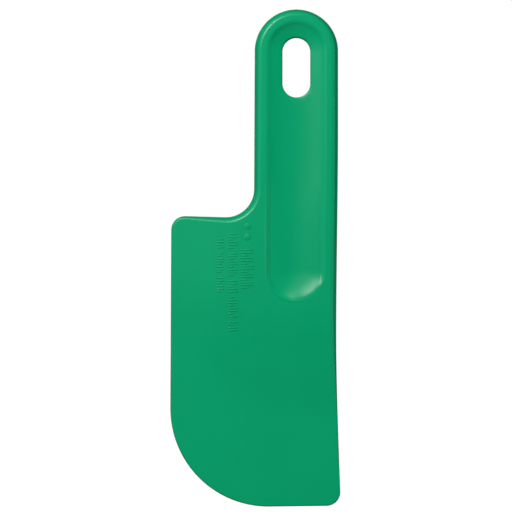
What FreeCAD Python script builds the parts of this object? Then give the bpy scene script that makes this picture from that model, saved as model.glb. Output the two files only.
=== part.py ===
"""Bench scraper: a one-piece moulded plastic hand scraper with a troughed handle and a thin blade.

Frame: +Z points up the handle, +X to the spine side, the front face looks toward -Y.
The origin is the hang point: the top of the hang slot, on the handle's axis, half way through
the thickness. All lengths are millimetres and all angles are degrees.
"""

import FreeCAD, Part
import math
import os

V = FreeCAD.Vector

# Overall
LENGTH = 250.0
TOP_Z = 14.3
BOTTOM_Z = TOP_Z - LENGTH
HANDLE_RADIUS = 20.95
HANDLE_END_Z = TOP_Z - HANDLE_RADIUS
HANDLE_LEAN = 0.25

# Hang slot, through the handle
SLOT_WIDTH = 14.0
SLOT_LENGTH = 30.0
SLOT_ROUND = 0.6

# Outline of the blade
SHOULDER_Z = -90.6
SHOULDER_RISE = 1.6
NOTCH_RADIUS = 14.3
CORNER_RADIUS = 6.9
LEFT_X = -63.4
LEFT_LEAN = 0.3
HEEL_RADIUS = 49.3
BOTTOM_RISE = 0.75

# The spine: the long right edge, drawn in a little at its waist and flared at the toe
SPINE_TOP_Z = -45.7
WAIST_Z = -150.7
WAIST_X = 20.05
TOE_X = 22.35
TOE_PULL_X = 21.15

# Section, measured outward from the handle's axis as tangent steps: an arc is (radius, turn),
# upward when the turn is positive, and a straight run is (STRAIGHT, length across)
STRAIGHT = 0
HALF_THICKNESS = 5.5
TROUGH_END_Z = -117.5
TROUGH_STEPS = ((41.0, 8.0), (31.0, 12.0), (9.0, 12.0), (3.6, -32.0))
LAND_STEPS = ((STRAIGHT, 2.0), (25.0, -5.0), (STRAIGHT, 38.5), (200.0, 4.75), (STRAIGHT, 90.0))
REACH = 200.0

# Rounding of the rim, in step with half the thickness
EDGE_ROUND = 4.2
THICK_HEIGHT = 5.4
THIN_ROUND = 0.75
THIN_HEIGHT = 1.0

# Plain raised ticks across the blade, in columns: left x, right x, z of the first tick, and how many
# ticks stand in each group going down; now and then one is short
MARK_HEIGHT = 0.2
TICK_WIDTH = 0.5
TICK_PITCH = 1.35
TICK_GAP = 1.6
SHORT_EVERY = 3
SHORT_SHARE = 0.6
TICK_COLUMNS = (
    (-27.8, -21.6, -107.0, (15,)),
    (-34.4, -29.6, -99.0, (6, 9, 5, 8, 4)),
    (-39.9, -36.5, -101.6, (4, 8, 6)),
)
DOT_RADIUS = 1.6
DOTS = ((-24.6, -94.8), (-24.6, -100.2))

# The level at which the handle region ends and the blade region begins
SPLIT_Z = -73.0


def sin(degrees):
    return math.sin(math.radians(degrees))


def cos(degrees):
    return math.cos(math.radians(degrees))


def tan(degrees):
    return math.tan(math.radians(degrees))


class Pen:
    """Draws tangent lines and arcs: across is the distance from the axis, up the height."""

    def __init__(self, across, up):
        self.across = across
        self.up = up
        self.heading = 0.0
        self.edges = []

    def here(self):
        return V(self.across, -self.up, 0)

    def line(self, run):
        """Goes straight on until it is run further across."""
        start = self.here()
        self.across += run
        self.up += run * tan(self.heading)
        self.edges.append(Part.makeLine(start, self.here()))

    def arc(self, radius, turn):
        """Turns by the given angle, upward when it is positive."""
        side = math.copysign(1.0, turn)
        centre_across = self.across - side * radius * sin(self.heading)
        centre_up = self.up + side * radius * cos(self.heading)
        start = self.here()
        points = []
        for share in (0.5, 1.0):
            heading = self.heading + share * turn
            self.across = centre_across + side * radius * sin(heading)
            self.up = centre_up - side * radius * cos(heading)
            points.append(self.here())
        self.heading += turn
        self.edges.append(Part.Arc(start, points[0], points[1]).toShape())

    def steps(self, steps):
        """Draws a row of steps, each a straight run or an arc."""
        for radius, amount in steps:
            if radius == STRAIGHT:
                self.line(amount)
            else:
                self.arc(radius, amount)


def half_section():
    """The section on one side of the axis, from trough floor to blade tip, as a face in the XY plane."""
    trial = Pen(0.0, 0.0)
    trial.steps(TROUGH_STEPS)
    floor_height = HALF_THICKNESS - trial.up

    pen = Pen(0.0, floor_height)
    pen.steps(TROUGH_STEPS + LAND_STEPS)

    back = [edge.mirror(V(0, 0, 0), V(0, 1, 0)) for edge in pen.edges]
    tip = Part.makeLine(pen.here(), V(pen.across, pen.up, 0))
    axis = Part.makeLine(V(0, -floor_height, 0), V(0, floor_height, 0))
    return Part.Face(Part.Wire(Part.__sortEdges__(pen.edges + back + [tip, axis])))


def swept_section():
    """The section carried down both sides of the handle's axis and round its two ends."""
    section = half_section()
    run = HANDLE_END_Z - TROUGH_END_Z
    low = section.translated(V(0, 0, TROUGH_END_Z))
    high = section.translated(V(0, 0, HANDLE_END_Z))
    right = low.extrude(V(0, 0, run))
    left = right.mirror(V(0, 0, 0), V(1, 0, 0))
    top = high.revolve(V(0, 0, HANDLE_END_Z), V(0, -1, 0), 180)
    bottom = low.revolve(V(0, 0, TROUGH_END_Z), V(0, 1, 0), 180)
    return right.fuse([left, top, bottom]).removeSplitter()


def outline_wire():
    """The silhouette, with the notch, the shoulder corner and the toe corner still sharp."""
    handle_left = V(-HANDLE_RADIUS * cos(HANDLE_LEAN), 0, HANDLE_END_Z + HANDLE_RADIUS * sin(HANDLE_LEAN))
    handle_top = V(0, 0, TOP_Z)
    handle_right = V(HANDLE_RADIUS, 0, HANDLE_END_Z)
    spine_top = V(HANDLE_RADIUS, 0, SPINE_TOP_Z)
    waist = V(WAIST_X, 0, WAIST_Z)

    heel_x = LEFT_X + HEEL_RADIUS
    heel_z = BOTTOM_Z + HEEL_RADIUS
    heel_low = V(heel_x + HEEL_RADIUS * sin(BOTTOM_RISE), 0, heel_z - HEEL_RADIUS * cos(BOTTOM_RISE))
    heel_mid = V(heel_x - HEEL_RADIUS * sin(45), 0, heel_z - HEEL_RADIUS * cos(45))
    heel_high = V(heel_x - HEEL_RADIUS * cos(LEFT_LEAN), 0, heel_z + HEEL_RADIUS * sin(LEFT_LEAN))
    toe = V(TOE_X, 0, heel_low.z + (TOE_X - heel_low.x) * tan(BOTTOM_RISE))

    notch = V(handle_left.x - (handle_left.z - SHOULDER_Z) * tan(HANDLE_LEAN), 0, SHOULDER_Z)
    rise = (notch.x - LEFT_X) * tan(SHOULDER_RISE)
    lean = (SHOULDER_Z - heel_high.z) * tan(LEFT_LEAN)
    shoulder = V(LEFT_X + lean, 0, SHOULDER_Z + rise)

    third = (SPINE_TOP_Z - WAIST_Z) / 3
    upper_spine = Part.BezierCurve()
    upper_spine.setPoles([spine_top, spine_top - V(0, 0, third), waist + V(0, 0, third), waist])
    lower = (WAIST_Z - toe.z) / 4
    lower_spine = Part.BezierCurve()
    lower_spine.setPoles([waist, waist - V(0, 0, lower), V(TOE_PULL_X, 0, toe.z + 1.5 * lower), toe])

    return Part.Wire(
        [
            Part.Arc(handle_left, handle_top, handle_right).toShape(),
            Part.makeLine(handle_right, spine_top),
            upper_spine.toShape(),
            lower_spine.toShape(),
            Part.makeLine(toe, heel_low),
            Part.Arc(heel_low, heel_mid, heel_high).toShape(),
            Part.makeLine(heel_high, shoulder),
            Part.makeLine(shoulder, notch),
            Part.makeLine(notch, handle_left),
        ]
    )


def outline_prism():
    """The silhouette as a block, its notch and its two sharp corners rounded."""
    depth = 4 * HALF_THICKNESS
    block = Part.Face(outline_wire()).extrude(V(0, depth, 0)).translated(V(0, -depth / 2, 0))

    def uprights(where):
        return [
            edge
            for edge in block.Edges
            if abs(edge.BoundBox.YLength - depth) < 0.01 and where(edge.CenterOfMass)
        ]

    notch = uprights(lambda c: abs(c.x + HANDLE_RADIUS) < 1 and abs(c.z - SHOULDER_Z) < 0.1)
    block = block.makeFillet(NOTCH_RADIUS, notch)
    shoulder = uprights(lambda c: c.x < LEFT_X + 2 and c.z > SHOULDER_Z)
    toe = uprights(lambda c: c.x > TOE_X - 1 and c.z < WAIST_Z - HEEL_RADIUS)
    return block.makeFillet(CORNER_RADIUS, shoulder + toe)


def slot_block():
    """The hang slot: a round-ended bar through the handle."""
    radius = SLOT_WIDTH / 2
    depth = 4 * HALF_THICKNESS
    start_y = -depth / 2
    low_z = radius - SLOT_LENGTH
    upper = Part.makeCylinder(radius, depth, V(0, start_y, -radius), V(0, 1, 0))
    lower = Part.makeCylinder(radius, depth, V(0, start_y, low_z), V(0, 1, 0))
    middle = Part.makeBox(SLOT_WIDTH, depth, -radius - low_z, V(-radius, start_y, low_z))
    return middle.fuse([upper, lower]).removeSplitter()


def block_between(low, high):
    """A block that holds everything between two levels."""
    return Part.makeBox(2 * REACH, 2 * REACH, high - low, V(-REACH, -REACH, low))


def on_side_wall(face, spot):
    """Whether the face runs straight through the thickness at this spot."""
    u, v = face.Surface.parameter(spot)
    return abs(face.normalAt(u, v).y) < 0.01


def rim_edges(body, keep):
    """The edges between the body's side walls and its front or back, with their numbers."""
    found = []
    for number, edge in enumerate(body.Edges, 1):
        middle = edge.valueAt((edge.FirstParameter + edge.LastParameter) / 2)
        walls = [on_side_wall(face, middle) for face in body.ancestorsOfType(edge, Part.Face)]
        if sorted(walls) == [False, True] and keep(middle):
            found.append((number, edge))
    return found


def in_slot(spot):
    return abs(spot.x) < SLOT_WIDTH / 2 + 0.1 and -SLOT_LENGTH - 0.1 < spot.z < 0.1


def round_handle(body):
    """The handle region, its outer rim and the rim of its slot rounded."""
    outer = rim_edges(body, lambda spot: spot.z > SPLIT_Z + 0.1 and not in_slot(spot))
    body = body.makeFillet(EDGE_ROUND, [edge for _, edge in outer])
    slot = rim_edges(body, in_slot)
    return body.makeFillet(SLOT_ROUND, [edge for _, edge in slot])


def round_blade(body):
    """The blade region, its front rim rounded in step with its thickness and its back made the same."""
    front = rim_edges(body, lambda spot: spot.z < SPLIT_Z - 0.1 and spot.y < 0)
    document = FreeCAD.newDocument()
    sharp = document.addObject("Part::Feature", "Sharp")
    sharp.Shape = body
    rounded = document.addObject("Part::Fillet", "Rounded")
    rounded.Base = sharp
    rounded.Edges = [(number, *[rim_round(end.Point) for end in edge.Vertexes]) for number, edge in front]
    document.recompute()
    half = rounded.Shape.common(Part.makeBox(2 * REACH, REACH, 2 * REACH, V(-REACH, -REACH, -2 * REACH)))
    return half.fuse(half.mirror(V(0, 0, 0), V(0, 1, 0))).removeSplitter()


def rim_round(spot):
    """The rounding where the rim passes this spot, which lies half the thickness from the middle."""
    share = (abs(spot.y) - THIN_HEIGHT) / (THICK_HEIGHT - THIN_HEIGHT)
    return THIN_ROUND + (EDGE_ROUND - THIN_ROUND) * min(1.0, max(0.0, share))


def marks(sweep):
    """Ticks and dots whose tops follow the blade's front, a little proud of it."""
    depth = 2 * HALF_THICKNESS
    stamps = [Part.makeCylinder(DOT_RADIUS, depth, V(x, 0, z), V(0, -1, 0)) for x, z in DOTS]
    for left, right, z, groups in TICK_COLUMNS:
        number = 0
        for count in groups:
            for _ in range(count):
                number += 1
                share = SHORT_SHARE if number % SHORT_EVERY == 0 else 1
                stamps.append(Part.makeBox((right - left) * share, depth, TICK_WIDTH, V(left, -depth, z)))
                z -= TICK_PITCH
            z -= TICK_GAP
    proud = sweep.translated(V(0, -MARK_HEIGHT, 0))
    return Part.makeCompound(stamps).common(proud)


def main():
    os.makedirs("parts", exist_ok=True)
    sweep = swept_section()
    body = sweep.common(outline_prism()).cut(slot_block()).removeSplitter()
    handle = round_handle(body.common(block_between(SPLIT_Z, REACH)))
    blade = round_blade(body.common(block_between(-2 * REACH, SPLIT_Z)))
    blade = blade.fuse(marks(sweep)).removeSplitter()
    for name, shape in (("handle", handle), ("blade", blade)):
        solid = shape.Solids[0]
        print(name, len(shape.Solids), solid.isValid(), round(solid.Volume / 1000, 2), "cm3")
        solid.exportStep(f"parts/{name}.step")


main()
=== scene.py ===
"""The looks of a one-piece moulded plastic bench scraper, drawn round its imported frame.

Lengths are metres, and named sizes are given in millimetres through MM. Angles are degrees. Points
of the outline are (x, z) pairs. The moulding's mesh is a front sheet and its mirror image, joined
along the outline and along the wall of the hang slot.
"""
import math

import bmesh
import bpy
import numpy as np
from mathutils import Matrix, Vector, geometry

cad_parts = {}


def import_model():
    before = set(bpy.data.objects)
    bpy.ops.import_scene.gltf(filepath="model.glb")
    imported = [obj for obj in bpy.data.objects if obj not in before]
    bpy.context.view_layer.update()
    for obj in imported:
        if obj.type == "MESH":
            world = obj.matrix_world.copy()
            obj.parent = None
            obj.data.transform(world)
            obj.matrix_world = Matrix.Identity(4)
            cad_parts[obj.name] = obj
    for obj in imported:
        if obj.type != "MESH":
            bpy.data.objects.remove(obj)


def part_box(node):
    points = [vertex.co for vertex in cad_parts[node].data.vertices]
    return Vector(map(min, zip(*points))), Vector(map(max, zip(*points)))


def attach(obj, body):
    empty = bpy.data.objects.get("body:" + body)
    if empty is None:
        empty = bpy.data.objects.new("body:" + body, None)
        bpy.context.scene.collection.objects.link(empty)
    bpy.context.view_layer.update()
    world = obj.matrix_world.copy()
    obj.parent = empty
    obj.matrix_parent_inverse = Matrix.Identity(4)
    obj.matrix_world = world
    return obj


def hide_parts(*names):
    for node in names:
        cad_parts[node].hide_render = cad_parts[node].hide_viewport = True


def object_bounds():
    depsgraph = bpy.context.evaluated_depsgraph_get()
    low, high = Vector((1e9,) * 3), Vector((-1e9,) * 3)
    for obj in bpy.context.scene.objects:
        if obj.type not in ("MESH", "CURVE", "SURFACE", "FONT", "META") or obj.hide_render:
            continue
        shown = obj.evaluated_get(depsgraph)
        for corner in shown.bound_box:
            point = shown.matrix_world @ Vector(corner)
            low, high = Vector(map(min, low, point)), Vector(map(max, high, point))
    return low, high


MM = 0.001
TINY = 1e-9

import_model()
CAD_LOW, CAD_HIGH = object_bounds()
_, HANDLE_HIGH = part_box("handle")

# The handle's axis stands on the origin, and the other sizes here are read from the frame
AXIS_X = 0.0
HANDLE_RADIUS = HANDLE_HIGH.x - AXIS_X
TOP_Z = CAD_HIGH.z
BOTTOM_Z = CAD_LOW.z
LEFT_X = CAD_LOW.x
HALF_THICKNESS = CAD_HIGH.y
HANDLE_END_Z = TOP_Z - HANDLE_RADIUS

# The hang slot, its top at the origin
SLOT_RADIUS = 7.0 * MM
SLOT_LENGTH = 30.0 * MM
SLOT_ROUND = 0.8 * MM

# The rest of the outline: leans from upright, rises from level, radii and places. The spine below
# the handle is two cubic curves that meet at the waist; the pulls place the lower one's inner poles
HANDLE_LEAN = 0.25
SHOULDER_Z = -90.6 * MM
SHOULDER_RISE = 1.6
NOTCH_RADIUS = 14.3 * MM
CORNER_RADIUS = 6.9 * MM
LEFT_LEAN = 0.3
HEEL_RADIUS = 49.3 * MM
BOTTOM_RISE = 0.75
SPINE_TOP_Z = -45.7 * MM
WAIST = (20.05 * MM, -150.7 * MM)
WAIST_PULL_SHARE = 0.25
TOE_X = 22.35 * MM
TOE_PULL_X = 21.15 * MM
TOE_PULL_SHARE = 0.375

# A profile is a row of tangent steps: (radius in mm, turn) arcs and (STRAIGHT, run in mm) lines
STRAIGHT = 0.0

# The trough from the handle's axis outward to its lip: near the slot, at the blade, and round the
# lower end. The first eases into the second going down, where the section also moves END_SHIFT to
# the left. Round the end, the third comes in and goes out again over END_TURNS, from +X clockwise
TROUGH_END_Z = -117.5 * MM
DEEP_TROUGH = ((41.0, 8.0), (31.0, 12.0), (9.0, 12.0), (3.6, -32.0))
SHALLOW_TROUGH = (
    (46.0, 6.8),
    (STRAIGHT, 5.6),
    (20.0, -3.8),
    (2.4, 29.0),
    (STRAIGHT, 0.5),
    (1.5, -32.0),
)
END_TROUGH = ((18.2, 6.3), (60.0, 6.2), (22.0, 5.3), (STRAIGHT, 1.9), (8.0, -17.8))
LIP_X = 15.6 * MM
DEEP_END_Z = -55.0 * MM
SHALLOW_START_Z = -100.0 * MM
END_DEPTH = 2.6 * MM
END_SHIFT = 0.3 * MM
END_TURNS = ((0.0, 40.0), (85.0, 130.0))

# The low bead along the left of the lip where the trough is shallow
BEAD_X = 14.9 * MM
BEAD_HALF_WIDTH = 0.8 * MM
BEAD_HEIGHT = 0.18 * MM
BEAD_FADE = 6.0 * MM

# The land outside the lip, falling away to the blade's thin edge
LAND = ((STRAIGHT, 2.0), (180.0, -5.8), (STRAIGHT, 22.4), (200.0, 5.55), (STRAIGHT, 90.0))

# The rim: walls drafted from a proud parting line, and a rounding in step with the thickness
DRAFT = 18.0
PARTING_WIDTH = 0.2 * MM
PARTING_PROUD = 0.08 * MM
THIN_ROUND = 0.6 * MM
THIN_HEIGHT = 1.0 * MM
THICK_ROUND = 2.5 * MM
THICK_HEIGHT = 5.5 * MM

# The raised marks. A column of ticks is (left x, right x, z of the first, count in each group going
# down) and a dot is (x, z), all in millimetres. MARK_FOOT is the (spread, level) of the sunk foot
MARK_HEIGHT = 0.2 * MM
MARK_ROUND = 0.12 * MM
MARK_FOOT = ((0.04 * MM, -0.1 * MM), (0.02 * MM, 0.02 * MM))
TICK_WIDTH = 0.5 * MM
TICK_PITCH = 1.35 * MM
TICK_GAP = 1.6 * MM
SHORT_EVERY = 3
SHORT_SHARE = 0.6
TICK_COLUMNS = (
    (-27.8, -21.6, -107.0, (15,)),
    (-34.4, -29.6, -99.0, (6, 9, 5, 8, 4)),
    (-39.9, -36.5, -101.6, (4, 8, 6)),
)
DOT_RADIUS = 1.6 * MM
DOTS = ((-24.6, -94.8), (-24.6, -100.2))

# Fineness of the mesh
ARC_STEP = 4.0
LINE_STEP = 2.0 * MM
RIM_PASSES = 3
RIM_STEPS = 9
RIM_MARGIN = 0.3 * MM
WALL_STEPS = 4
LIP_BAND = (16.2 * MM, 11.4 * MM)
LIP_STEPS = 18
SLOT_STEPS = 5
SLOT_WALL_SHARES = (0.25, 0.5, 0.75)
STADIUM_STEPS = 45
MARK_END_STEPS = 8
MARK_ROUND_ANGLES = (0, 30, 60, 90)
FILL_STEP = 1.8 * MM
FILL_ROOM = 0.55 * FILL_STEP
MERGE_DISTANCE = 1e-4 * MM

# Green polypropylene; a grain is (size, depth, strength)
DARK_GREEN = (0.001, 0.300, 0.126)
LIGHT_GREEN = (0.001, 0.312, 0.132)
CLOUD_SIZE = 30 * MM
CLOUD_STOPS = (0.3, 0.7)
SHEEN_SIZE = 4 * MM
SHEEN_ROUGHNESS = (0.28, 0.33)
SPECULAR_LEVEL = 0.22
COARSE_GRAIN = (1.1 * MM, 0.04 * MM, 0.6)
FINE_GRAIN = (0.28 * MM, 0.02 * MM, 0.7)

# Stage and lights: a light is (name, place, size, power)
FLOOR_REACH = 40.0
FLOOR_DROP = 1.0
SURROUND_LIGHT = 0.035
KEY_DIRECTION = (-0.42, -0.74, 0.525)
KEY_DISTANCE = 1.5
KEY_SIZE = 0.65
KEY_POWER = 26.2
FILL_LIGHTS = (
    ("left_fill", (-1.5, -0.35, 0.1), 1.0, 3),
    ("right_fill", (1.5, -0.25, -0.1), 1.0, 11.5),
    ("top_fill", (0.0, -0.3, 1.4), 1.0, 3),
    ("low_fill", (0.1, -0.9, -1.1), 1.0, 2.5),
    ("back_fill", (-0.25, 1.3, 0.2), 0.8, 11),
)

# Camera, aimed a little off the middle of the scraper
CAMERA_DISTANCE = 1.6
SENSOR_WIDTH = 36.0
PICTURE_HEIGHT = 261.5 * MM
AIM_RIGHT = 0.35 * MM
AIM_DOWN = 1.0 * MM


def sin(degrees):
    return math.sin(math.radians(degrees))


def cos(degrees):
    return math.cos(math.radians(degrees))


def tan(degrees):
    return math.tan(math.radians(degrees))


def quads(outer, inner):
    """Faces between one closed ring and the next, for rings of one length."""
    following = [(i + 1) % len(outer) for i in range(len(outer))]
    return [(outer[i], outer[j], inner[j], inner[i]) for i, j in enumerate(following)]


# Section ----------------------------------------------------------------------------------------


class Profile:
    """Height against distance: tangent arcs and straight runs drawn outward from the origin."""

    def __init__(self, steps):
        self.across = 0.0
        self.up = 0.0
        self.heading = 0.0
        self.pieces = []
        for radius, turn in steps:
            if radius == STRAIGHT:
                self.line(turn * MM)
            else:
                self.arc(radius * MM, turn)

    def line(self, run):
        start, up, slope = self.across, self.up, tan(self.heading)
        self.pieces.append((start, lambda d: up + (d - start) * slope))
        self.across += run
        self.up += run * slope

    def arc(self, radius, turn):
        side = math.copysign(1.0, turn)
        middle = self.across - side * radius * sin(self.heading)
        level = self.up + side * radius * cos(self.heading)

        def rule(d):
            return level - side * np.sqrt(np.maximum(radius**2 - (d - middle) ** 2, 0.0))

        self.pieces.append((self.across, rule))
        self.heading += turn
        self.across = middle + side * radius * sin(self.heading)
        self.up = level - side * radius * cos(self.heading)

    def height(self, distance):
        distance = np.asarray(distance, dtype=float)
        height = np.zeros_like(distance)
        for start, rule in self.pieces:
            beyond = distance >= start
            height[beyond] = rule(distance[beyond])
        return height

    def share(self, distance):
        """The height as a share of the whole rise, which ends where the profile ends."""
        return np.where(distance >= self.across, 1.0, self.height(distance) / self.up)


DEEP = Profile(DEEP_TROUGH)
SHALLOW = Profile(SHALLOW_TROUGH)
END = Profile(END_TROUGH)
OUTSIDE = Profile(LAND)


def ease(value, start, end):
    """0 before start, 1 after end, smooth between."""
    t = np.clip((value - start) / (end - start), 0, 1)
    return t * t * (3 - 2 * t)


def surface(points):
    """Half the thickness at each (x, z) point, before the rim is rounded.

    How deep the trough is and how much of that depth is already regained are worked out apart, so
    that its sections blend without moving the lip.
    """
    shallow = ease(points[:, 1], DEEP_END_Z, SHALLOW_START_Z)
    across = points[:, 0] - AXIS_X + END_SHIFT * shallow
    along = points[:, 1] - np.clip(points[:, 1], TROUGH_END_Z, HANDLE_END_Z)
    distance = np.hypot(across, along)
    turn = np.degrees(np.arctan2(-along, across)) * (points[:, 1] < TROUGH_END_Z)
    ended = ease(turn, *END_TURNS[0]) * (1 - ease(turn, *END_TURNS[1]))
    depth = DEEP.up + (END_DEPTH - DEEP.up) * shallow
    side = SHALLOW.share(distance) * (1 - ended) + END.share(distance) * ended
    risen = DEEP.share(distance) * (1 - shallow) + side * shallow
    trough = HALF_THICKNESS - depth * (1 - risen)
    land = HALF_THICKNESS + OUTSIDE.height(np.maximum(distance - LIP_X, 0))
    aside = np.clip(np.abs(distance - BEAD_X) / BEAD_HALF_WIDTH, 0, 1)
    beside = shallow * ease(-across, -BEAD_FADE, BEAD_FADE)
    bead = BEAD_HEIGHT * beside * (1 - np.cos(math.pi * aside)) / 2
    return np.where(distance < LIP_X, trough, land) - bead


# Outline ----------------------------------------------------------------------------------------


class Trail:
    """Points along a closed path, the material on the right hand, each with its direction."""

    def __init__(self):
        self.points = []
        self.directions = []

    def add(self, point, direction):
        direction = np.array(direction) / np.linalg.norm(direction)
        self.points.append(np.array(point))
        self.directions.append(direction)

    def line(self, start, end, step):
        """From start up to but not including end."""
        start, end = np.array(start), np.array(end)
        count = max(1, round(np.linalg.norm(end - start) / step))
        for i in range(count):
            self.add(start + (end - start) * i / count, end - start)

    def corner(self, before, at, after, radius):
        """Round the corner at a point, between straight runs from before and toward after."""
        start, end, centre = corner_ends(before, at, after, radius)
        first = math.atan2(*(start - centre)[::-1])
        turn = math.atan2(*(end - centre)[::-1]) - first
        turn = (turn + math.pi) % (2 * math.pi) - math.pi
        count = max(3, round(math.degrees(abs(turn)) / arc_step(radius)))
        for i in range(count):
            angle = first + turn * i / count
            out = np.array([math.cos(angle), math.sin(angle)])
            ahead = math.copysign(1.0, turn) * np.array([-out[1], out[0]])
            self.add(centre + radius * out, ahead)

    def curve(self, poles, step):
        """A cubic Bezier curve, up to but not including its end."""
        poles = [np.array(pole) for pole in poles]
        count = max(2, round(np.linalg.norm(poles[3] - poles[0]) / step))
        for i in range(count):
            t = i / count
            point, direction = bezier(poles, t)
            self.add(point, direction)

    def arrays(self):
        return np.array(self.points), np.array(self.directions)


def arc_step(radius):
    """The turn between two points of an arc: no more than ARC_STEP, or LINE_STEP along it."""
    return min(ARC_STEP, math.degrees(LINE_STEP / radius))


def corner_ends(before, at, after, radius):
    """Where a corner's rounding starts and ends, and its centre."""
    before, at, after = np.array(before), np.array(at), np.array(after)
    back = (before - at) / np.linalg.norm(before - at)
    ahead = (after - at) / np.linalg.norm(after - at)
    half = math.acos(np.clip(back @ ahead, -1, 1)) / 2
    reach = radius / math.tan(half)
    bisector = (back + ahead) / np.linalg.norm(back + ahead)
    return at + back * reach, at + ahead * reach, at + bisector * radius / math.sin(half)


def bezier(poles, t):
    """The point and the direction of a cubic Bezier curve at t."""
    s = 1 - t
    first, second, third, fourth = poles
    point = s**3 * first + 3 * s * s * t * second + 3 * s * t * t * third + t**3 * fourth
    direction = s * s * (second - first) + 2 * s * t * (third - second) + t * t * (fourth - third)
    return point, direction


def meet(p, angle_p, q, angle_q):
    """Where the line through p at one angle from +X crosses the line through q at another."""
    u = np.array([cos(angle_p), sin(angle_p)])
    v = np.array([cos(angle_q), sin(angle_q)])
    s = np.linalg.solve(np.array([u, -v]).T, np.array(q) - np.array(p))
    return np.array(p) + s[0] * u


def outline():
    """The silhouette, walked clockwise as seen from the front."""
    left, right = AXIS_X - HANDLE_RADIUS, AXIS_X + HANDLE_RADIUS
    heel_centre = np.array([LEFT_X + HEEL_RADIUS, BOTTOM_Z + HEEL_RADIUS])
    heel_low = heel_centre + HEEL_RADIUS * np.array([sin(BOTTOM_RISE), -cos(BOTTOM_RISE)])
    heel_high = heel_centre + HEEL_RADIUS * np.array([-cos(LEFT_LEAN), sin(LEFT_LEAN)])
    toe = np.array([TOE_X, heel_low[1] + (TOE_X - heel_low[0]) * tan(BOTTOM_RISE)])
    heel = meet(heel_low, BOTTOM_RISE, heel_high, 90 - LEFT_LEAN)
    out_left = np.array([-cos(HANDLE_LEAN), sin(HANDLE_LEAN)])
    handle_left = np.array([AXIS_X, HANDLE_END_Z]) + HANDLE_RADIUS * out_left
    notch = meet(handle_left, 90 - HANDLE_LEAN, (left, SHOULDER_Z), -SHOULDER_RISE)
    shoulder = meet(notch, -SHOULDER_RISE, heel_high, 90 - LEFT_LEAN)
    top_left = meet(handle_left, 90 - HANDLE_LEAN, (left, TOP_Z), 0)
    top_right = np.array([right, TOP_Z])
    spine_top, waist = np.array([right, SPINE_TOP_Z]), np.array(WAIST)

    third = np.array([0, (SPINE_TOP_Z - WAIST[1]) / 3])
    rise = WAIST[1] - toe[1]
    waist_pull = np.array([WAIST[0], WAIST[1] - WAIST_PULL_SHARE * rise])
    toe_pull = np.array([TOE_PULL_X, toe[1] + TOE_PULL_SHARE * rise])
    toe_start, toe_end, _ = corner_ends(toe_pull, toe, heel, CORNER_RADIUS)
    heel_start, heel_end, _ = corner_ends(toe, heel, shoulder, HEEL_RADIUS)
    shoulder_start, shoulder_end, _ = corner_ends(heel, shoulder, notch, CORNER_RADIUS)
    notch_start, notch_end, _ = corner_ends(shoulder, notch, top_left, NOTCH_RADIUS)

    trail = Trail()
    trail.corner(notch, top_left, top_right, HANDLE_RADIUS)
    trail.corner(top_left, top_right, spine_top, HANDLE_RADIUS)
    trail.line((right, HANDLE_END_Z), spine_top, LINE_STEP)
    trail.curve([spine_top, spine_top - third, waist + third, waist], LINE_STEP)
    trail.curve([waist, waist_pull, toe_pull, toe_start], LINE_STEP)
    trail.corner(toe_pull, toe, heel, CORNER_RADIUS)
    trail.line(toe_end, heel_start, LINE_STEP)
    trail.corner(toe, heel, shoulder, HEEL_RADIUS)
    trail.line(heel_end, shoulder_start, LINE_STEP)
    trail.corner(heel, shoulder, notch, CORNER_RADIUS)
    trail.line(shoulder_end, notch_start, LINE_STEP)
    trail.corner(shoulder, notch, top_left, NOTCH_RADIUS)
    trail.line(notch_end, handle_left, LINE_STEP)
    return trail.arrays()


def stadium(radius, start, end, end_steps=STADIUM_STEPS):
    """A closed loop at one distance from the line between two points, which may be one point."""
    start, end = np.array(start), np.array(end)
    back = (start - end) / max(np.linalg.norm(start - end), TINY)
    if not back.any():
        back = np.array([0.0, 1.0])
    side = np.array([back[1], -back[0]])
    run_steps = max(1, round(np.linalg.norm(end - start) / LINE_STEP))
    loop = []
    for centre, first in ((start, 180), (end, 0)):
        for i in range(end_steps):
            angle = first - 180 * i / end_steps
            loop.append(centre + radius * (cos(angle) * side + sin(angle) * back))
        other = end if centre is start else start
        offset = radius * side * (1 if first else -1)
        for i in range(run_steps):
            loop.append(centre + offset + (other - centre) * i / run_steps)
    return np.array(loop)


# Mesh -------------------------------------------------------------------------------------------


def inside(points, loop):
    """Which points lie inside a closed loop."""
    x, z = points[:, 0][:, None], points[:, 1][:, None]
    ax, az = loop[:, 0], loop[:, 1]
    bx, bz = np.roll(ax, -1), np.roll(az, -1)
    spans = (az > z) != (bz > z)
    with np.errstate(divide="ignore", invalid="ignore"):
        cross = ax + (z - az) * (bx - ax) / (bz - az)
    return (np.sum(spans & (x < cross), axis=1) % 2) == 1


def clearance(points, loop):
    """How far each point is from a closed loop."""
    a, b = loop, np.roll(loop, -1, axis=0)
    run = b - a
    length_squared = np.maximum(np.sum(run**2, axis=1), TINY**2)
    from_a = points[:, None, :] - a[None]
    t = np.clip(np.sum(from_a * run, axis=2) / length_squared, 0, 1)
    return np.sqrt(np.sum((from_a - t[..., None] * run) ** 2, axis=2)).min(axis=1)


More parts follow.
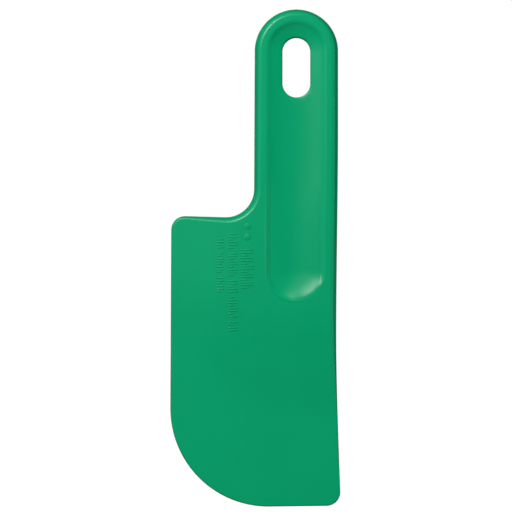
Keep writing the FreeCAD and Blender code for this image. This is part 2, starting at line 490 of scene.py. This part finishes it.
class Sheet:
    """The front half of the skin: points in the plane, their half thickness, and faces."""

    def __init__(self):
        self.points = np.zeros((0, 2))
        self.heights = np.zeros(0)
        self.faces = []

    def add(self, points, heights):
        first = len(self.points)
        self.points = np.vstack([self.points, points])
        self.heights = np.concatenate([self.heights, heights])
        return np.arange(first, first + len(points))

    def band(self, rings):
        """Quads between one ring of points and the next."""
        for outer, inner in zip(rings, rings[1:]):
            self.faces += quads(outer, inner)

    def fill(self, outer, hole):
        """Triangles between two rings, with a staggered grid of points inside."""
        outer_loop, hole_loop = self.points[outer], self.points[hole]
        low, high = outer_loop.min(axis=0), outer_loop.max(axis=0)
        rows = np.arange(low[1], high[1], FILL_STEP * sin(60))
        grid = []
        for number, z in enumerate(rows):
            shift = FILL_STEP / 2 * (number % 2)
            columns = np.arange(low[0] + shift, high[0], FILL_STEP)
            grid.append(np.column_stack([columns, np.full(len(columns), z)]))
        grid = np.vstack(grid)
        grid = grid[inside(grid, outer_loop) & ~inside(grid, hole_loop)]
        room = np.minimum(clearance(grid, outer_loop), clearance(grid, hole_loop))
        grid = grid[room > FILL_ROOM]
        added = self.add(grid, surface(grid))

        numbers = np.concatenate([outer, hole, added])
        count = len(outer)
        edges = [(i, (i + 1) % count) for i in range(count)]
        edges += [(count + i, count + (i + 1) % len(hole)) for i in range(len(hole))]
        flat = [Vector(point) for point in self.points[numbers]]
        made = geometry.delaunay_2d_cdt(flat, edges, [], 0, TINY, True)
        places, triangles, sources = made[0], np.array(made[2]), made[3]
        middles = np.array([tuple(place) for place in places])[triangles].mean(axis=1)
        wanted = inside(middles, outer_loop) & ~inside(middles, hole_loop)
        for triangle in triangles[wanted]:
            self.faces.append(tuple(numbers[sources[corner][0]] for corner in triangle))


def rim_rings(sheet):
    """The rim: rings from the parting plane up the drafted wall and round onto the face."""
    points, directions = outline()
    inward = np.column_stack([directions[:, 1], -directions[:, 0]])
    edge = surface(points)
    share = np.clip((edge - THIN_HEIGHT) / (THICK_HEIGHT - THIN_HEIGHT), 0, 1)
    radius = THIN_ROUND + (THICK_ROUND - THIN_ROUND) * share
    for _ in range(RIM_PASSES):
        wall_height = edge - radius * (1 - sin(DRAFT))
        reach = wall_height * tan(DRAFT) + radius * cos(DRAFT)
        edge = surface(points + inward * reach[:, None])
    rings = [sheet.add(points, np.zeros(len(points)))]
    for height in (PARTING_WIDTH / 2, PARTING_WIDTH):
        ring = points + inward * (PARTING_PROUD + height * tan(DRAFT))
        rings.append(sheet.add(ring, np.full(len(points), height)))
    for share in np.linspace(0, 1, WALL_STEPS + 1)[1:-1]:
        inset = PARTING_PROUD * (1 - share) + wall_height * tan(DRAFT) * share
        ring = points + inward * inset[:, None]
        rings.append(sheet.add(ring, wall_height * share))
    for angle in np.linspace(DRAFT, 90, RIM_STEPS + 1):
        inset = reach - radius * cos(angle)
        ring = points + inward * inset[:, None]
        level = edge - radius * (1 - sin(angle))
        rings.append(sheet.add(ring, level))
    ring = points + inward * (reach + RIM_MARGIN)[:, None]
    rings.append(sheet.add(ring, surface(ring)))
    return rings


def trough_rings(sheet):
    """The lip and the wall of the trough: rings at set distances from the axis, inward."""
    rings = []
    for radius in np.linspace(*LIP_BAND, LIP_STEPS + 1):
        loop = stadium(radius, (AXIS_X, HANDLE_END_Z), (AXIS_X, TROUGH_END_Z))
        rings.append(sheet.add(loop, surface(loop)))
    return rings


def slot_rings(sheet):
    """The rounded edge of the hang slot: rings inward to its wall."""
    high, low = (AXIS_X, -SLOT_RADIUS), (AXIS_X, SLOT_RADIUS - SLOT_LENGTH)
    rings = []
    for step in range(SLOT_STEPS + 1):
        angle = 90 - 90 * step / SLOT_STEPS
        loop = stadium(SLOT_RADIUS + SLOT_ROUND * (1 - cos(angle)), high, low)
        rings.append(sheet.add(loop, surface(loop) - SLOT_ROUND * (1 - sin(angle))))
    return rings


def wall(verts, front, back, shares):
    """Faces from a ring on the front to its mirror image, with rings at shares of the way."""
    rings = [front]
    for share in shares:
        ring = []
        for front_point, back_point in zip(front, back):
            a, b = np.array(verts[front_point]), np.array(verts[back_point])
            ring.append(len(verts))
            verts.append(tuple(a + (b - a) * share))
        rings.append(ring)
    rings.append(back)
    return [face for outer, inner in zip(rings, rings[1:]) for face in quads(outer, inner)]


def build_moulding():
    """The whole skin. new_object joins its two halves where they meet, along the outline."""
    sheet = Sheet()
    rim = rim_rings(sheet)
    trough = trough_rings(sheet)
    slot = slot_rings(sheet)
    sheet.band(rim)
    sheet.band(trough)
    sheet.band(slot)
    sheet.fill(rim[-1], trough[0])
    sheet.fill(trough[-1], slot[0])

    count = len(sheet.points)
    verts = [(x, -h, z) for (x, z), h in zip(sheet.points, sheet.heights)]
    verts += [(x, h, z) for (x, z), h in zip(sheet.points, sheet.heights)]
    faces = [tuple(int(i) for i in face) for face in sheet.faces]
    faces += [tuple(i + count for i in face[::-1]) for face in faces]
    faces += wall(verts, list(slot[-1]), list(slot[-1] + count), SLOT_WALL_SHARES)
    return new_object("moulding", verts, faces)


def new_object(name, verts, faces):
    """A smooth mesh object, its doubled points merged and its faces turned outward."""
    mesh = bpy.data.meshes.new(name)
    plain_verts = [tuple(float(c) for c in vert) for vert in verts]
    plain_faces = [tuple(int(i) for i in face) for face in faces]
    mesh.from_pydata(plain_verts, [], plain_faces)
    body = bmesh.new()
    body.from_mesh(mesh)
    bmesh.ops.remove_doubles(body, verts=body.verts, dist=MERGE_DISTANCE)
    bmesh.ops.recalc_face_normals(body, faces=body.faces)
    body.to_mesh(mesh)
    body.free()
    mesh.shade_smooth()
    thing = bpy.data.objects.new(name, mesh)
    bpy.context.scene.collection.objects.link(thing)
    return thing


# Raised marks -----------------------------------------------------------------------------------


def build_marks():
    """Plain ticks and dots, their tops a little proud of the blade."""
    verts, faces = [], []
    for x, z in DOTS:
        spot = (x * MM, z * MM)
        add_mark(verts, faces, spot, spot, DOT_RADIUS)
    radius = TICK_WIDTH / 2
    for left, right, top, groups in TICK_COLUMNS:
        z = top * MM + radius
        number = 0
        for count in groups:
            for _ in range(count):
                number += 1
                share = SHORT_SHARE if number % SHORT_EVERY == 0 else 1
                start = left * MM + radius
                end = (left + (right - left) * share) * MM - radius
                add_mark(verts, faces, (start, z), (end, z), radius)
                z -= TICK_PITCH
            z -= TICK_GAP
    return new_object("raised_marks", verts, faces)


def add_mark(verts, faces, start, end, radius):
    """A round-ended ridge between two points, its foot sunk in the blade."""
    profile = [(radius + spread, level) for spread, level in MARK_FOOT]
    for angle in MARK_ROUND_ANGLES:
        across = radius - MARK_ROUND * (1 - cos(angle))
        profile.append((across, MARK_HEIGHT - MARK_ROUND * (1 - sin(angle))))
    rings = []
    for across, rise in profile:
        loop = stadium(across, start, end, MARK_END_STEPS)
        first = len(verts)
        verts.extend((x, -(h + rise), z) for (x, z), h in zip(loop, surface(loop)))
        rings.append(np.arange(first, first + len(loop)))
    for outer, inner in zip(rings, rings[1:]):
        faces += quads(outer, inner)
    faces.append(tuple(rings[0][::-1]))
    faces.append(tuple(rings[-1]))


# Materials --------------------------------------------------------------------------------------


class Nodes:
    """A short way to build a material's node tree."""

    def __init__(self, name):
        self.material = bpy.data.materials.new(name)
        self.material.use_nodes = True
        self.tree = self.material.node_tree
        self.shader = self.tree.nodes["Principled BSDF"]
        self.place = self.new("ShaderNodeTexCoord").outputs["Object"]

    def new(self, kind, **values):
        node = self.tree.nodes.new(kind)
        for name, value in values.items():
            setattr(node, name, value)
        return node

    def link(self, source, target):
        self.tree.links.new(source, target)

    def noise(self, size, detail=2.0, roughness=0.5):
        """Noise whose features are about this many metres across."""
        node = self.new("ShaderNodeTexNoise")
        node.inputs["Scale"].default_value = 1.0 / size
        node.inputs["Detail"].default_value = detail
        node.inputs["Roughness"].default_value = roughness
        self.link(self.place, node.inputs["Vector"])
        return node.outputs["Fac"]

    def ramp(self, source, positions, colours):
        """A value carried to a colour between two."""
        node = self.new("ShaderNodeValToRGB")
        for element, position, colour in zip(node.color_ramp.elements, positions, colours):
            element.position = position
            element.color = (*colour, 1.0)
        self.link(source, node.inputs["Fac"])
        return node.outputs["Color"]

    def span(self, source, low, high):
        """A value between 0 and 1 carried to another range."""
        node = self.new("ShaderNodeMapRange")
        node.inputs["To Min"].default_value = low
        node.inputs["To Max"].default_value = high
        self.link(source, node.inputs["Value"])
        return node.outputs["Result"]

    def bump(self, source, distance, strength, below=None):
        """A normal raised by a value, on top of another bump if one is given."""
        node = self.new("ShaderNodeBump")
        node.inputs["Distance"].default_value = distance
        node.inputs["Strength"].default_value = strength
        self.link(source, node.inputs["Height"])
        if below is not None:
            self.link(below, node.inputs["Normal"])
        return node.outputs["Normal"]


def green_plastic():
    """Solid green polypropylene with the fine matt grain of a spark-eroded mould."""
    made = Nodes("green_polypropylene")
    shader = made.shader
    cloud = made.noise(CLOUD_SIZE, detail=3.0)
    green = made.ramp(cloud, CLOUD_STOPS, (DARK_GREEN, LIGHT_GREEN))
    made.link(green, shader.inputs["Base Color"])
    sheen = made.span(made.noise(SHEEN_SIZE, detail=4.0), *SHEEN_ROUGHNESS)
    made.link(sheen, shader.inputs["Roughness"])
    size, depth, strength = COARSE_GRAIN
    coarse = made.bump(made.noise(size, detail=3.0, roughness=0.6), depth, strength)
    size, depth, strength = FINE_GRAIN
    fine = made.bump(made.noise(size, detail=2.0, roughness=0.6), depth, strength, coarse)
    made.link(fine, shader.inputs["Normal"])
    shader.inputs["Specular IOR Level"].default_value = SPECULAR_LEVEL
    return made.material


# Stage ------------------------------------------------------------------------------------------


def floor():
    """A plain pale floor, well below the scraper, as white as the surround and lighting nothing."""
    reach, level = FLOOR_REACH, BOTTOM_Z - FLOOR_DROP
    corners = ((-reach, -reach), (reach, -reach), (reach, reach), (-reach, reach))
    thing = new_object("floor", [(x, y, level) for x, y in corners], [(0, 1, 2, 3)])
    material = bpy.data.materials.new("pale_floor")
    material.use_nodes = True
    shader = material.node_tree.nodes["Principled BSDF"]
    shader.inputs["Base Color"].default_value = (0.9, 0.9, 0.9, 1)
    shader.inputs["Roughness"].default_value = 0.9
    shader.inputs["Emission Color"].default_value = (1, 1, 1, 1)
    shader.inputs["Emission Strength"].default_value = 1.0
    thing.data.materials.append(material)
    thing.visible_diffuse = False
    thing.visible_glossy = False


def world():
    """A white surround, dimmer as a light than as a background."""
    made = bpy.data.worlds.new("white_surround")
    made.use_nodes = True
    tree = made.node_tree
    seen = tree.nodes["Background"]
    seen.inputs["Color"].default_value = (1, 1, 1, 1)
    seen.inputs["Strength"].default_value = 1.0
    lit = tree.nodes.new("ShaderNodeBackground")
    lit.inputs["Color"].default_value = (1, 1, 1, 1)
    lit.inputs["Strength"].default_value = SURROUND_LIGHT
    path = tree.nodes.new("ShaderNodeLightPath")
    mix = tree.nodes.new("ShaderNodeMixShader")
    tree.links.new(path.outputs["Is Camera Ray"], mix.inputs["Fac"])
    tree.links.new(lit.outputs["Background"], mix.inputs[1])
    tree.links.new(seen.outputs["Background"], mix.inputs[2])
    tree.links.new(mix.outputs["Shader"], tree.nodes["World Output"].inputs["Surface"])
    bpy.context.scene.world = made


def area_light(name, place, aim, size, power, glossy=False):
    """A round light, seen in glossy reflections only if asked."""
    data = bpy.data.lights.new(name, "AREA")
    data.shape = "DISK"
    data.size = size
    data.energy = power
    light = bpy.data.objects.new(name, data)
    light.location = place
    light.rotation_euler = (Vector(aim) - Vector(place)).to_track_quat("-Z", "Y").to_euler()
    light.visible_glossy = glossy
    bpy.context.scene.collection.objects.link(light)


def camera():
    """Face on and far back, with the scraper nearly filling the height of the picture."""
    middle = (CAD_LOW + CAD_HIGH) / 2
    data = bpy.data.cameras.new("camera")
    data.sensor_width = SENSOR_WIDTH
    data.lens = SENSOR_WIDTH * CAMERA_DISTANCE / PICTURE_HEIGHT
    thing = bpy.data.objects.new("camera", data)
    aim = Vector((middle.x + AIM_RIGHT, 0, middle.z - AIM_DOWN))
    thing.location = aim - Vector((0, CAMERA_DISTANCE, 0))
    thing.rotation_euler = (math.radians(90), 0, 0)
    bpy.context.scene.collection.objects.link(thing)
    bpy.context.scene.camera = thing


def main():
    plastic = green_plastic()
    moulding = build_moulding()
    marks = build_marks()
    for piece in (moulding, marks):
        piece.data.materials.append(plastic)
        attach(piece, "root")
    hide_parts("handle", "blade")
    floor()
    world()
    aim = ((CAD_LOW.x + CAD_HIGH.x) / 2, 0, (CAD_LOW.z + CAD_HIGH.z) / 2)
    right, ahead, up = (share * KEY_DISTANCE for share in KEY_DIRECTION)
    area_light("key_light", (right, ahead, up + aim[2]), aim, KEY_SIZE, KEY_POWER, glossy=True)
    for name, place, size, power in FILL_LIGHTS:
        area_light(name, place, aim, size, power)
    camera()
    bpy.context.scene.view_settings.view_transform = "Standard"


main()
